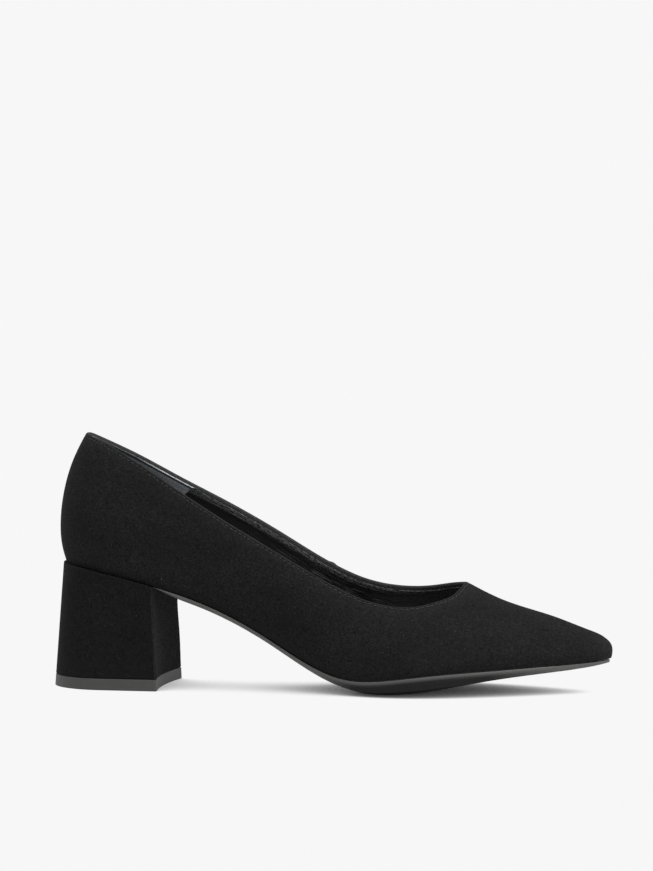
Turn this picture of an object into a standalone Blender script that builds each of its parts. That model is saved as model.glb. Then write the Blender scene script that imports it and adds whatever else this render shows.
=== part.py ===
"""Right-foot pump with a pointed toe and a covered block heel, built from the pieces its maker joins.

Pieces: upper, insole, outsole, heel and top piece, each its own closed solid.
Frame: metres, +X to the toe, +Y to the inner side of the foot, +Z up, floor at z = 0,
origin on the floor under the middle of the shoe's box.
"""

import bmesh
import bpy
import numpy as np

MM = 0.001  # the sizes and tables below are in millimetres

# Driving dimensions of the last
LENGTH = 242.0  # feather line, from the back of the heel to the toe tip
BALL_WIDTH = 73.0  # across the feather line at the ball
HEEL_HEIGHT = 55.4  # floor to the feather line at the back
INSTEP_HEIGHT = 84.0  # floor to the ridge of the last over the waist
COLLAR_HEIGHT = 112.0  # floor to the topline at the back

# Upper
WALL = 2.0  # suede with its lining
ROLL = 1.2  # how far the suede rolls in under itself at the feather line
ROLL_HEIGHT = 4.0  # height of that roll
ROLL_SHARE = 0.4  # the most of a section's height that it takes
THROAT = 0.735  # share of the length where the topline crosses the ridge
THROAT_RUN = 26.0  # length over which the topline turns across the foot
HEEL_CENTRE = 25.0  # centre of the round heel at the feather line, from the back
COLLAR_TAPER = 33.0  # how far that centre would move forwards up to the ridge
TOE_ROUND = 10.0  # length of the rounded toe tip
TOE_NOSE = 3.6  # how far the ridge stops short of the tip
TOE_TUCK = 0.7  # how far the tip turns back under, at the feather line

# Bottom pieces
GAP = 0.3  # between pieces that meet
INSOLE_THICKNESS = 2.2
INSOLE_INSET = WALL + ROLL + 0.5  # feather line to the insole's edge
INSOLE_TOE_GAP = 7.0  # toe tip to the insole's tip
INSOLE_EDGE_BEVEL = 0.3
SOLE_INSET = 0.5  # feather line to the outsole's edge
SOLE_TOE_GAP = 2.0  # toe tip to the outsole's tip
SOLE_EDGE_BEVEL = 0.6  # rounding of the outsole's lower edge

# Heel, along measured from the back of the feather line
HEEL_RIM = 0.8  # how far the heel's top stands out past the feather line
HEEL_BREAST_TOP = 44.0  # along, at the corners of the breast
HEEL_BREAST_FLOOR = 46.2
HEEL_BACK_FLOOR = -5.1
HEEL_HALF_WIDTH_FLOOR = 27.0  # at the breast
HEEL_FLOOR_TAPER = 1.6  # how much narrower its half width is towards the back
HEEL_ROUND = 0.5  # share of the heel's depth that is round
HEEL_HOLLOW = 2.2  # how far the breast curves in
TOP_PIECE_THICKNESS = 5.0
HEEL_CORNER = 0.8  # rounding of the covered edges
HARD_EDGE = 45.0  # degrees, sharper edges of a piece stay hard or are rounded

# Mesh density
COLUMNS = 14  # from the feather line to the topline
COLUMN_CROWDING = 1.25  # above 1, columns crowd towards the feather line
COLUMN_START = 0.3  # how fast they climb there, the same for every section
ACROSS = 8  # across a bottom piece

# Bottom of the last. swing: centre line's offset to the inner side, and breadth: half the width,
# as shares of BALL_WIDTH. height: of the feather line, as a share of HEEL_HEIGHT.
# belly: how far the middle lies below the feather line, in mm. sole: thickness of the outsole, in mm.
BOTTOM = (
    ("along", "swing", "breadth", "height", "belly", "sole"),
    (0.000, 0.000, 0.356, 1.000, 0.5, 2.0),
    (0.100, 0.000, 0.353, 0.917, 1.5, 2.0),
    (0.185, -0.004, 0.345, 0.822, 1.0, 2.0),
    (0.285, -0.022, 0.320, 0.673, 0.5, 2.0),
    (0.390, -0.044, 0.300, 0.436, 0.4, 2.0),
    (0.470, -0.052, 0.336, 0.236, 1.2, 2.4),
    (0.540, -0.049, 0.405, 0.136, 3.2, 3.4),
    (0.620, -0.036, 0.484, 0.147, 4.8, 4.4),
    (0.705, 0.000, 0.498, 0.189, 4.3, 4.5),
    (0.800, 0.025, 0.405, 0.216, 2.4, 3.5),
    (0.895, 0.041, 0.250, 0.237, 1.2, 2.6),
    (0.965, 0.052, 0.128, 0.254, 0.5, 1.7),
    (1.000, 0.055, 0.096, 0.271, 0.2, 1.0),
)

# Cone of the last. ridge: its height, as a share of INSTEP_HEIGHT. crest: the ridge's offset to the
# inner side, in mm. A section runs from the feather line to the ridge as a cubic curve, whose two
# handles are set by flare (how far the side swells, as a share of the half breadth), side (height of
# that swell, as a share of the section's height) and crown (half width of the top, as a share).
CONE = (
    ("along", "ridge", "crest", "flare", "side", "crown"),
    (0.000, 1.548, 0.0, 0.30, 0.45, 0.70),
    (0.100, 1.540, 0.0, 0.30, 0.45, 0.70),
    (0.285, 1.333, 0.0, 0.54, 0.40, 0.85),
    (0.390, 1.167, 0.0, 0.90, 0.38, 0.85),
    (0.490, 0.976, 0.5, 0.74, 0.35, 0.62),
    (0.573, 0.839, 1.0, 0.23, 0.33, 0.45),
    (0.635, 0.735, 1.5, 0.10, 0.33, 0.38),
    (0.735, 0.566, 2.5, 0.08, 0.35, 0.38),
    (0.800, 0.474, 3.0, 0.08, 0.40, 0.42),
    (0.895, 0.388, 3.4, 0.06, 0.45, 0.50),
    (0.965, 0.314, 3.8, 0.05, 0.50, 0.55),
    (1.000, 0.283, 4.0, 0.05, 0.50, 0.55),
)

# Topline heights on the outer and inner side, as shares of COLLAR_HEIGHT
TOPLINE = (
    ("along", "outer", "inner"),
    (0.000, 1.0000, 1.0000),
    (0.100, 0.9480, 0.9180),
    (0.185, 0.8460, 0.8220),
    (0.285, 0.7090, 0.7120),
    (0.390, 0.5780, 0.5830),
    (0.490, 0.4560, 0.4590),
    (0.550, 0.3900, 0.4110),
    (0.615, 0.3510, 0.3920),
    (0.665, 0.3500, 0.3980),
    (0.705, 0.3710, 0.4140),
    (0.725, 0.3950, 0.4210),
    (0.735, 0.4245, 0.4245),
)

# Profile of the back: offset forwards, in mm, at shares of the counter's height
BACK_CURVE = (
    ("height", "forward"),
    (0.00, 0.0),
    (0.10, -1.6),
    (0.30, -2.5),
    (0.55, -0.8),
    (0.80, 3.6),
    (1.00, 9.3),
)

OUTER, INNER = -1, 1  # sides of the shoe, as signs of y


def spline(knots, values):
    """Natural cubic spline through the points, as a function of the position."""
    knots, values = np.asarray(knots, float), np.asarray(values, float)
    step = np.diff(knots)
    slope = np.diff(values) / step
    matrix, right = np.eye(len(knots)), np.zeros(len(knots))
    for i in range(1, len(knots) - 1):
        matrix[i, i - 1 : i + 2] = step[i - 1], 2 * (step[i - 1] + step[i]), step[i]
        right[i] = 6 * (slope[i] - slope[i - 1])
    bend = np.linalg.solve(matrix, right)

    def at(position):
        position = np.clip(position, knots[0], knots[-1])
        i = np.clip(np.searchsorted(knots, position) - 1, 0, len(step) - 1)
        a = (knots[i + 1] - position) / step[i]
        b = 1 - a
        curve = (a**3 - a) * bend[i] + (b**3 - b) * bend[i + 1]
        return a * values[i] + b * values[i + 1] + curve * step[i] ** 2 / 6

    return at


def columns_of(table, scale):
    """Each column of a table as a function of the first column, which is stretched by scale."""
    names, *rows = table
    columns = np.array(rows).T
    return {name: spline(columns[0] * scale, column) for name, column in zip(names[1:], columns[1:])}


bottom = columns_of(BOTTOM, LENGTH)
cone = columns_of(CONE, LENGTH)
topline = columns_of(TOPLINE, LENGTH)
back_curve = columns_of(BACK_CURVE, COLLAR_HEIGHT - HEEL_HEIGHT)["forward"]


def end_share(along, back, tip, heel_centre=HEEL_CENTRE):
    """How far into the round heel and the round toe a place is: 0 before them, 1 at their ends."""
    heel = np.clip((heel_centre - along) / (heel_centre - back), 0, 1)
    toe = np.clip((along - (LENGTH - TOE_ROUND)) / (tip - (LENGTH - TOE_ROUND)), 0, 1)
    return heel, toe


def half_breadth(along, inset=0.0, back=0.0, tip=LENGTH):
    """Half the width of the feather outline moved in by inset, with elliptical ends at back and tip."""
    heel, toe = end_share(along, back, tip)
    return (bottom["breadth"](along) * BALL_WIDTH - inset) * np.sqrt((1 - heel**2) * (1 - toe**2))


def swing(along):
    return bottom["swing"](along) * BALL_WIDTH


def feather_height(along):
    return bottom["height"](along) * HEEL_HEIGHT


def bottom_height(along, across):
    """Underside of the last at across, from -1 at the outer feather line to 1 at the inner one."""
    return feather_height(along) - bottom["belly"](along) * (1 - across**2)


def section(along, t):
    """Half width and height, as shares, at t from 0 at the feather line to 1 at the ridge."""
    rest = 1 - t
    handles = 3 * rest**2 * t, 3 * rest * t**2
    width = rest**3 + handles[0] * (1 + cone["flare"](along)) + handles[1] * cone["crown"](along)
    height = handles[0] * cone["side"](along) + handles[1] + t**3
    return width, height


def last_point(along, side, t):
    """Point of the upper's outer face: a section of the last, with the ends drawn round."""
    width, height = section(along, t)
    low = feather_height(along)
    rise = cone["ridge"](along) * INSTEP_HEIGHT - low
    z = low + height * rise
    heel, toe = end_share(along, 0.0, LENGTH, HEEL_CENTRE + COLLAR_TAPER * height**2)
    roll_height = np.minimum(ROLL_HEIGHT, ROLL_SHARE * rise)
    roll = ROLL * np.clip(1 - (z - low) / roll_height, 0, 1) ** 2
    ends = np.sqrt((1 - heel**2) * (1 - toe**2))
    out = (bottom["breadth"](along) * BALL_WIDTH * width - roll) * ends
    y = swing(along) + (cone["crest"](along) - swing(along)) * height + side * out
    nose = TOE_NOSE * height**4 + TOE_TUCK * (1 - height) ** 4
    x = along + back_curve(z - HEEL_HEIGHT) * heel**2 - nose * toe**2
    return np.stack(np.broadcast_arrays(x, y, z), -1)


def topline_t(along, side):
    """Where on its section the topline lies; 1, the ridge, in front of the throat."""
    samples = np.linspace(0, 1, 401)
    wanted = topline["outer" if side == OUTER else "inner"](along) * COLLAR_HEIGHT
    result = np.ones_like(along)
    for i in np.flatnonzero(along < THROAT * LENGTH - 1e-6):
        heights = last_point(along[i], side, samples)[:, 2]
        result[i] = np.interp(wanted[i], heights, samples)
    return result


def upper_stations():
    """Places of the upper's sections, closer together round the heel, the throat and the toe tip."""
    throat, toe = THROAT * LENGTH, LENGTH - TOE_ROUND
    run_in = throat - THROAT_RUN
    heel_fan = HEEL_CENTRE * (1 - np.cos(np.linspace(0, np.pi / 2, 9)))
    sides = np.linspace(HEEL_CENTRE, run_in, 13)[1:]
    throat_fan = throat - THROAT_RUN * np.linspace(1, 0, 9)[1:] ** 2
    vamp = np.linspace(throat, toe, 10)[1:]
    toe_fan = toe + TOE_ROUND * np.sin(np.linspace(0, np.pi / 2, 7))[1:]
    return np.concatenate([heel_fan, sides, throat_fan, vamp, toe_fan])


def bottom_stations(start, tip):
    """Places of a bottom piece's sections from start to its tip, closer together at a round end."""
    toe = LENGTH - TOE_ROUND
    toe_fan = toe + (tip - toe) * np.sin(np.linspace(0, np.pi / 2, 6))[1:]
    if start >= HEEL_CENTRE:
        return np.concatenate([np.linspace(start, toe, 26), toe_fan])
    heel_fan = start + (HEEL_CENTRE - start) * (1 - np.cos(np.linspace(0, np.pi / 2, 7)))
    return np.concatenate([heel_fan, np.linspace(HEEL_CENTRE, toe, 27)[1:], toe_fan])


def material(name, colour, roughness):
    made = bpy.data.materials.new(name)
    made.use_nodes = True
    shader = made.node_tree.nodes["Principled BSDF"]
    shader.inputs["Base Color"].default_value = (*colour, 1)
    shader.inputs["Roughness"].default_value = roughness
    return made


def object_from(name, mesh_builder, finish):
    """New object of a bmesh, shaded smooth between hard edges."""
    mesh = bpy.data.meshes.new(name)
    mesh_builder.to_mesh(mesh)
    mesh_builder.free()
    mesh.shade_smooth()
    mesh.set_sharp_from_angle(angle=np.radians(HARD_EDGE))
    mesh.materials.append(finish)
    made = bpy.data.objects.new(name, mesh)
    bpy.context.scene.collection.objects.link(made)
    return made


def merge_points(mesh_builder):
    """Joins the points that lie at one place, such as those of both sides along the ridge."""
    bmesh.ops.remove_doubles(mesh_builder, verts=mesh_builder.verts, dist=1e-6)


def add_skin(mesh_builder, points, flip):
    """Quads over a grid of points, rows along the shoe and columns up it."""
    verts = [[mesh_builder.verts.new(p) for p in row] for row in points * MM]
    for row, following in zip(verts, verts[1:]):
        for j in range(len(row) - 1):
            corners = [row[j], following[j], following[j + 1], row[j + 1]]
            mesh_builder.faces.new(corners[::-1] if flip else corners)


def loft(name, loops, finish):
    """Closed solid through closed section loops. A loop that shrinks to a line closes its own end."""
    mesh_builder = bmesh.new()
    rings = [[mesh_builder.verts.new(p) for p in loop] for loop in loops * MM]
    for ring, following in zip(rings, rings[1:]):
        for j in range(len(ring)):
            k = (j + 1) % len(ring)
            mesh_builder.faces.new([ring[j], ring[k], following[k], following[j]])
    for ring, loop in ((rings[0], loops[0]), (rings[-1], loops[-1])):
        if np.ptp(loop[:, 1]) > GAP:
            mesh_builder.faces.new(ring)
    merge_points(mesh_builder)
    bmesh.ops.recalc_face_normals(mesh_builder, faces=mesh_builder.faces)
    return object_from(name, mesh_builder, finish)


def bevel(made, width):
    """Rounds the hard edges of an object."""
    rounding = made.modifiers.new("rounded edges", "BEVEL")
    rounding.width = width * MM
    rounding.segments = 2
    rounding.limit_method = "ANGLE"
    rounding.angle_limit = np.radians(HARD_EDGE)


def build_upper(finish):
    """Hollow suede upper, open at the collar and underneath: both sides' skins, joined and thickened."""
    stations = upper_stations()
    up = (np.arange(COLUMNS + 1) / COLUMNS) ** COLUMN_CROWDING
    mesh_builder = bmesh.new()
    for side in (OUTER, INNER):
        t = COLUMN_START * up + (topline_t(stations, side)[:, None] - COLUMN_START) * up**2
        add_skin(mesh_builder, last_point(stations[:, None], side, t), flip=side == INNER)
    merge_points(mesh_builder)
    upper = object_from("upper", mesh_builder, finish)
    wall = upper.modifiers.new("wall", "SOLIDIFY")
    wall.thickness = WALL * MM
    wall.offset = -1


def plate_loops(stations, inset, back, tip, thickness, lift, bevel_width):
    """Section loops of a thin piece that follows the bottom of the last, its top lifted by lift."""
    across = np.linspace(-1, 1, ACROSS + 1)
    along = stations[:, None]
    half = half_breadth(along, inset, back, tip)
    share = half / np.maximum(half_breadth(along), GAP)
    y = swing(along) + half * across
    top = bottom_height(along, across * np.minimum(share, 1)) + lift
    low_half = np.maximum(half - bevel_width, 0)
    low_y = swing(along) + low_half * across
    low = top - thickness
    top_rows = np.stack(np.broadcast_arrays(along, y, top), -1)
    edge = np.stack(np.broadcast_arrays(along, y, low + bevel_width), -1)[:, [-1, 0]]
    low_rows = np.stack(np.broadcast_arrays(along, low_y, low), -1)[:, ::-1]
    return np.concatenate([top_rows, edge[:, :1], low_rows, edge[:, 1:]], axis=1)


def build_insole(finish):
    """Thin board that lies in the upper on the bottom of the last."""
    back, tip = INSOLE_INSET, LENGTH - INSOLE_TOE_GAP
    stations = bottom_stations(back, tip)
    loops = plate_loops(
        stations, INSOLE_INSET, back, tip, INSOLE_THICKNESS, INSOLE_THICKNESS, INSOLE_EDGE_BEVEL
    )
    loft("insole", loops, finish)


def breast(across):
    """How far the breast of the heel lies behind its corners, at across from -1 to 1."""
    return HEEL_HOLLOW * (1 - across**2)


def build_outsole(finish):
    """Sole from the breast of the heel to the toe, with its tread worn flat where it meets the floor."""
    tip = LENGTH - SOLE_TOE_GAP
    start = HEEL_BREAST_TOP + 2 * GAP
    stations = bottom_stations(start, tip)
    thickness = bottom["sole"](stations)[:, None]
    loops = plate_loops(stations, SOLE_INSET, 0.0, tip, thickness, -GAP, SOLE_EDGE_BEVEL)
    half = half_breadth(stations, SOLE_INSET, 0.0, tip)[0]
    loops[0, :, 0] -= breast((loops[0, :, 1] - swing(start)) / half)
    loops[:, :, 2] = np.maximum(loops[:, :, 2], 0)
    loft("outsole", loops, finish)


def heel_plan(floor_share):
    """Outline grid of the heel at a share of the way from the seat, 0, to the floor, 1: x and y."""
    depth = 1 - np.cos(np.linspace(0, np.pi / 2, 9))
    depth = np.concatenate([depth * HEEL_ROUND, np.linspace(HEEL_ROUND, 1, 7)[1:]])[:, None]
    across = np.linspace(-1, 1, ACROSS + 1)
    back = -HEEL_RIM * (1 - floor_share) + HEEL_BACK_FLOOR * floor_share
    front = HEEL_BREAST_TOP * (1 - floor_share) + HEEL_BREAST_FLOOR * floor_share
    along = back + (front - breast(across) - back) * depth
    seat_half = bottom["breadth"](HEEL_BREAST_TOP * depth) * BALL_WIDTH + HEEL_RIM
    floor_half = HEEL_HALF_WIDTH_FLOOR - HEEL_FLOOR_TAPER * (1 - depth)
    half = seat_half * (1 - floor_share) + floor_half * floor_share
    round_end = np.sqrt(1 - np.clip(1 - depth / HEEL_ROUND, 0, 1) ** 2)
    return along, half * round_end * across, across


def heel_loops(top_share, low_share, top_height):
    """Section loops of a slice of the heel between two shares of the way to the floor."""
    top_x, top_y, across = heel_plan(top_share)
    low_x, low_y, _ = heel_plan(low_share)
    top = np.stack(np.broadcast_arrays(top_x, top_y, top_height(top_x, across)), -1)
    low_z = HEEL_HEIGHT * (1 - low_share)
    low = np.stack(np.broadcast_arrays(low_x, low_y, low_z), -1)
    return np.concatenate([top, low[:, ::-1]], axis=1)


def build_heel(finish, tip_finish):
    """Covered block that carries the seat of the upper, and the rubber top piece under it."""
    rubber = 1 - TOP_PIECE_THICKNESS / HEEL_HEIGHT
    cover = rubber - GAP / HEEL_HEIGHT

    def seat(along, across):
        return bottom_height(np.maximum(along, 0), across) - GAP

    def rubber_top(along, across):
        return np.full_like(along + across, TOP_PIECE_THICKNESS)

    heel = loft("heel", heel_loops(0.0, cover, seat), finish)
    bevel(heel, HEEL_CORNER)
    loft("top_piece", heel_loops(rubber, 1.0, rubber_top), tip_finish)


def centre_on_floor():
    """Moves every mesh so that the origin lies on the floor under the middle of the shoe's box."""
    graph = bpy.context.evaluated_depsgraph_get()
    corners = [
        corner[:] for made in bpy.context.scene.objects for corner in made.evaluated_get(graph).bound_box
    ]
    low, high = np.min(corners, axis=0), np.max(corners, axis=0)
    offset = -(low + high) / 2
    offset[2] = 0
    for made in bpy.context.scene.objects:
        for vertex in made.data.vertices:
            vertex.co.x += offset[0]
            vertex.co.y += offset[1]


def main():
    for old in list(bpy.data.objects):
        bpy.data.objects.remove(old)
    suede = material("black suede", (0.012, 0.012, 0.013), 0.95)
    build_upper(suede)
    build_insole(material("black insole leather", (0.02, 0.02, 0.022), 0.6))
    build_outsole(material("black sole", (0.035, 0.034, 0.034), 0.55))
    build_heel(suede, material("grey top piece rubber", (0.06, 0.06, 0.06), 0.6))
    bpy.context.view_layer.update()
    centre_on_floor()


main()
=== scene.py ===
"""Looks of a right-foot pump in black suede, with a pointed toe and a covered block heel.

Sizes are in millimetres and become metres where a mesh is made. Shapes are worked out in the last's own
frame: along from the back of the heel to the toe, y to the inner side of the foot, z up from the floor.
"""

import bmesh
import bpy
import numpy as np
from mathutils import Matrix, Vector


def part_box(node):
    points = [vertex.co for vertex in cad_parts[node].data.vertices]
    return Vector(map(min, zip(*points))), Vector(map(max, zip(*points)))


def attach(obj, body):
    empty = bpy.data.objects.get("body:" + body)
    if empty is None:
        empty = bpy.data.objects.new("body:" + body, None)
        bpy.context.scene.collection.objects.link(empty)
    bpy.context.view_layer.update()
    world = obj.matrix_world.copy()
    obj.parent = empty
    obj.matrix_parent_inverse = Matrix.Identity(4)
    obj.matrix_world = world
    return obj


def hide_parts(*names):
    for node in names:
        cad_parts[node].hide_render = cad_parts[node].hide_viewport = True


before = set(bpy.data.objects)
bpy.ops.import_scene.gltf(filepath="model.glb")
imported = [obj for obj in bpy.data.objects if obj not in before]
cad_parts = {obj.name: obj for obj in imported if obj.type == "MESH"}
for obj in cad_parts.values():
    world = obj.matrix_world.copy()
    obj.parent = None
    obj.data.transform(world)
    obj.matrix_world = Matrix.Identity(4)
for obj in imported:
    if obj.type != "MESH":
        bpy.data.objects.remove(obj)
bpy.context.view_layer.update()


# Upper. One piece of black suede, closed by a seam on the inner side of the waist and folded in round the
# collar. It is pulled over the last, whose lines the tables give section by section, and its lower edge
# rolls in under the foot, where the sole and the heel are glued to it.

MM = 0.001
OUTER, INNER = 0, 1  # sides of the shoe
LENGTH = 242.0  # feather line, from the back of the heel to the toe tip
BALL_WIDTH = 73.0  # across the feather line at the ball
HEEL_HEIGHT = 55.4  # floor to the feather line at the back
INSTEP_HEIGHT = 84.0  # floor to the ridge of the last over the waist
COLLAR_HEIGHT = 112.0  # floor to the topline at the back
ROLL = 1.2  # how far the suede rolls in under itself at the feather line
ROLL_HEIGHT = 4.0
ROLL_SHARE = 0.4  # the most of a section's height that the roll takes
THROAT = 0.735  # share of the length where the topline crosses the ridge
HEEL_CENTRE = 25.0  # centre of the round heel at the feather line, from the back
COLLAR_TAPER = 33.0  # how far that centre would move forwards up to the ridge
TOE_ROUND = 10.0  # length of the rounded toe tip
TOE_NOSE = 3.6  # how far the ridge stops short of the tip
TOE_TUCK = 0.7  # how far the tip turns back under, at the feather line
SUEDE = 1.2  # thickness of one layer
FOLD_RADIUS = 0.8  # of the folded edge round the collar
FOLD_DEPTH = 4.0  # how far down the turned-in layer thickens the wall
STITCH_DROP = 1.5  # topline to the row of stitches
STITCH_GROOVE = 0.22  # how deep the stitches pull the suede in
STITCH_GROOVE_WIDTH = 0.7
SEAM_ALONG = 114.9  # place of the closing seam on the inner side
SEAM_GROOVE = 0.35
SEAM_WIDTH = 0.45
SEAM_LIP = 0.16  # how far the edges beside the seam swell
SEAM_LIP_OFF = 1.125  # seam to the middle of such a swelling
SEAM_LIP_WIDTH = 0.675
SEAM_KNOT = 2.2  # how far the sewn-off end of the seam would stand out at the topline
SEAM_KNOT_REACH = 0.85
CREASE_REACH = 12.0  # how far through the shoe a crease works
RIM_PAINTED_HIGHLIGHT = 0.3  # painted highlight: how far the nap is lightened on top of the folded edge
FOLD_PAINTED_LIGHT = 0.9  # painted light: how far the turned-in layer inside is lightened against its shade
COLLAR_LIGHTENING = 0.055  # how far the doubled suede under it outside is lightened
COLLAR_LIGHTENING_REACH = 6.0
TOE_RUB_AND_SHEEN = 0.15  # and at the toe tip, partly for worn nap and partly as painted sheen
TOE_RUB_AND_SHEEN_RUN = 9.0
SUEDE_DARK = (0.0015, 0.0015, 0.0015, 1)
SUEDE_LIGHT = (0.0165, 0.0165, 0.0165, 1)
# the tone towards which wear and painted light lighten the nap
SUEDE_RUB_AND_PAINTED_LIGHT = (0.0750, 0.0750, 0.0750, 1)
LINT = (0.060, 0.060, 0.060, 1)
LINT_SIZE = 0.6
LINT_SHARE = 0.73  # noise above this is a speck of lint
FIBRE_SIZE, TUFT_SIZE, CLUMP_SIZE, PATCH_SIZE = 0.5, 1.3, 3.6, 14.0  # in the nap
PATCH_STRETCH = 1.6, 1.0, 1.0  # how far the patches are drawn out along the axes
STROKE_SIZE, STROKE_STRETCH = 0.6, (1.0, 6.0, 1.0)
UPPER_SHADE = 0.48  # middle of the nap's tones, from the dark one to the light one
UPPER_RUFFLE = 1.0  # how far the nap's tones spread

# Density of the upper's mesh
HEEL_ROWS, SIDE_ROWS, SEAM_ROWS = 26, 90, 27  # sections round the heel, on the sides and at the seam
THROAT_ROWS, VAMP_ROWS, TOE_ROWS = 44, 64, 18  # behind the throat, on the vamp and round the toe tip
SEAM_FAN = 2.6  # how far on either side of the seam its sections lie
SEAM_CLEAR = 2.8  # and how far off the others stay
THROAT_RUN = 30.0  # length behind the throat where sections crowd towards it
VAMP_CROWDING = 1.5  # above 1, sections of the vamp crowd towards it too
COLUMNS = 58  # from the feather line to the topline
COLUMN_CROWDING = 1.6  # above 1, they crowd towards the topline
COLUMN_START = 0.3  # how fast they climb at the feather line
EDGE_POINTS = 9  # over a wall's edge
TIP = 0.004  # how far slopes along stay off either end of the last
AROUND_STEP = 0.002  # how far to either side slopes around are taken
MERGED = 0.0001  # points this close are one
WALL_HARD_EDGE = 80  # degrees, sharper edges of a wall stay hard

# Bottom of the last. swing: centre line's offset to the inner side, and breadth: half the width, as shares
# of BALL_WIDTH. height: of the feather line, as a share of HEEL_HEIGHT. belly: how far the middle lies below
# the feather line, and sole: thickness of the outsole, in mm.
BOTTOM = (
    ("along", "swing", "breadth", "height", "belly", "sole"),
    (0.000, 0.000, 0.356, 1.000, 0.5, 2.0),
    (0.100, 0.000, 0.353, 0.917, 1.5, 2.0),
    (0.185, -0.004, 0.345, 0.822, 1.0, 2.0),
    (0.285, -0.022, 0.320, 0.673, 0.5, 2.0),
    (0.390, -0.044, 0.300, 0.436, 0.4, 2.0),
    (0.470, -0.052, 0.336, 0.236, 1.2, 2.4),
    (0.540, -0.049, 0.405, 0.136, 3.2, 3.4),
    (0.620, -0.036, 0.484, 0.147, 4.8, 4.4),
    (0.705, 0.000, 0.498, 0.189, 4.3, 4.5),
    (0.800, 0.025, 0.405, 0.216, 2.4, 3.5),
    (0.895, 0.041, 0.250, 0.237, 1.2, 2.6),
    (0.965, 0.052, 0.128, 0.254, 0.5, 1.7),
    (1.000, 0.055, 0.096, 0.271, 0.2, 1.0),
)

# Cone of the last. ridge: its height, as a share of INSTEP_HEIGHT. crest: its offset to the inner side, in
# mm. flare, side and crown set the handles of a section's curve: how far the side swells, the height of that
# swell, and the half width of the top, all as shares.
CONE = (
    ("along", "ridge", "crest", "flare", "side", "crown"),
    (0.000, 1.548, 0.0, 0.30, 0.45, 0.70),
    (0.100, 1.540, 0.0, 0.30, 0.45, 0.70),
    (0.285, 1.333, 0.0, 0.54, 0.40, 0.85),
    (0.390, 1.167, 0.0, 0.90, 0.38, 0.85),
    (0.490, 0.976, 0.5, 0.74, 0.35, 0.62),
    (0.573, 0.839, 1.0, 0.23, 0.33, 0.45),
    (0.635, 0.735, 1.5, 0.10, 0.33, 0.38),
    (0.735, 0.566, 2.5, 0.08, 0.35, 0.38),
    (0.800, 0.474, 3.0, 0.08, 0.40, 0.42),
    (0.895, 0.388, 3.4, 0.06, 0.45, 0.50),
    (0.965, 0.314, 3.8, 0.05, 0.50, 0.55),
    (1.000, 0.283, 4.0, 0.05, 0.50, 0.55),
)

# Topline heights on the outer and inner side, as shares of COLLAR_HEIGHT
TOPLINE = (
    ("along", "outer", "inner"),
    (0.000, 1.0000, 1.0000),
    (0.100, 0.9480, 0.9180),
    (0.185, 0.8460, 0.8220),
    (0.285, 0.7090, 0.7120),
    (0.390, 0.5780, 0.5830),
    (0.490, 0.4560, 0.4590),
    (0.550, 0.3900, 0.4110),
    (0.615, 0.3510, 0.3920),
    (0.665, 0.3500, 0.3980),
    (0.705, 0.3710, 0.4140),
    (0.725, 0.3950, 0.4210),
    (0.735, 0.4245, 0.4245),
)

# Profile of the back: offset forwards, in mm, at shares of the counter's height
BACK_CURVE = (
    ("height", "forward"),
    (0.00, 0.0),
    (0.10, -1.6),
    (0.30, -2.5),
    (0.55, -0.8),
    (0.80, 3.6),
    (1.00, 9.3),
)

# Main creases: soft troughs, or ridges where depth is below 0. Each lies round a place on the skin, around
# being 0 at the outer feather line, 1 at the ridge and 2 at the inner feather line. Sizes in mm, and turn in
# degrees from the shoe's length towards the ridge.
CREASES = (
    ("along", "around", "length", "width", "turn", "depth"),
    (68.0, 0.20, 16.0, 5.0, 75.0, 0.22),
    (76.0, 0.24, 18.0, 6.0, 72.0, -0.20),
    (22.0, 0.33, 14.0, 9.0, 20.0, 0.25),
    (126.0, 0.30, 12.0, 5.0, 60.0, 0.20),
    (150.0, 0.45, 16.0, 4.0, 12.0, 0.16),
    (163.0, 0.28, 14.0, 4.5, 40.0, 0.18),
    (196.0, 0.55, 14.0, 5.0, 25.0, 0.16),
    (224.0, 0.35, 8.0, 2.6, 15.0, 0.20),
    (233.0, 0.30, 5.0, 2.0, 60.0, 0.18),
    (229.0, 0.62, 7.0, 3.0, 5.0, -0.12),
    (72.0, 1.78, 16.0, 5.0, -75.0, 0.22),
    (135.0, 1.66, 14.0, 5.0, -40.0, 0.20),
    (168.0, 1.60, 14.0, 4.5, -30.0, 0.18),
    (218.0, 1.62, 10.0, 3.0, -15.0, 0.16),
)


def spline(knots, values):
    """Natural cubic spline through the points, as a function of the position."""
    step = np.diff(knots)
    slope = np.diff(values) / step
    matrix, right = np.eye(len(knots)), np.zeros(len(knots))
    for i in range(1, len(knots) - 1):
        matrix[i, i - 1 : i + 2] = step[i - 1], 2 * (step[i - 1] + step[i]), step[i]
        right[i] = 6 * (slope[i] - slope[i - 1])
    bend = np.linalg.solve(matrix, right)

    def at(position):
        position = np.clip(position, knots[0], knots[-1])
        i = np.clip(np.searchsorted(knots, position) - 1, 0, len(step) - 1)
        a = (knots[i + 1] - position) / step[i]
        b = 1 - a
        curve = (a**3 - a) * bend[i] + (b**3 - b) * bend[i + 1]
        return a * values[i] + b * values[i + 1] + curve * step[i] ** 2 / 6

    return at


def columns_of(table, scale):
    """Each column of a table as a function of the first column, which is stretched by scale."""
    names, *rows = table
    columns = np.array(rows).T
    return {name: spline(columns[0] * scale, column) for name, column in zip(names[1:], columns[1:])}


def rows_of(table):
    """Each row of a table as a dictionary, by the names in the first row."""
    names, *rows = table
    return [dict(zip(names, row)) for row in rows]


bottom = columns_of(BOTTOM, LENGTH)
cone = columns_of(CONE, LENGTH)
topline = columns_of(TOPLINE, LENGTH)
back_curve = columns_of(BACK_CURVE, COLLAR_HEIGHT - HEEL_HEIGHT)["forward"]


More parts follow.
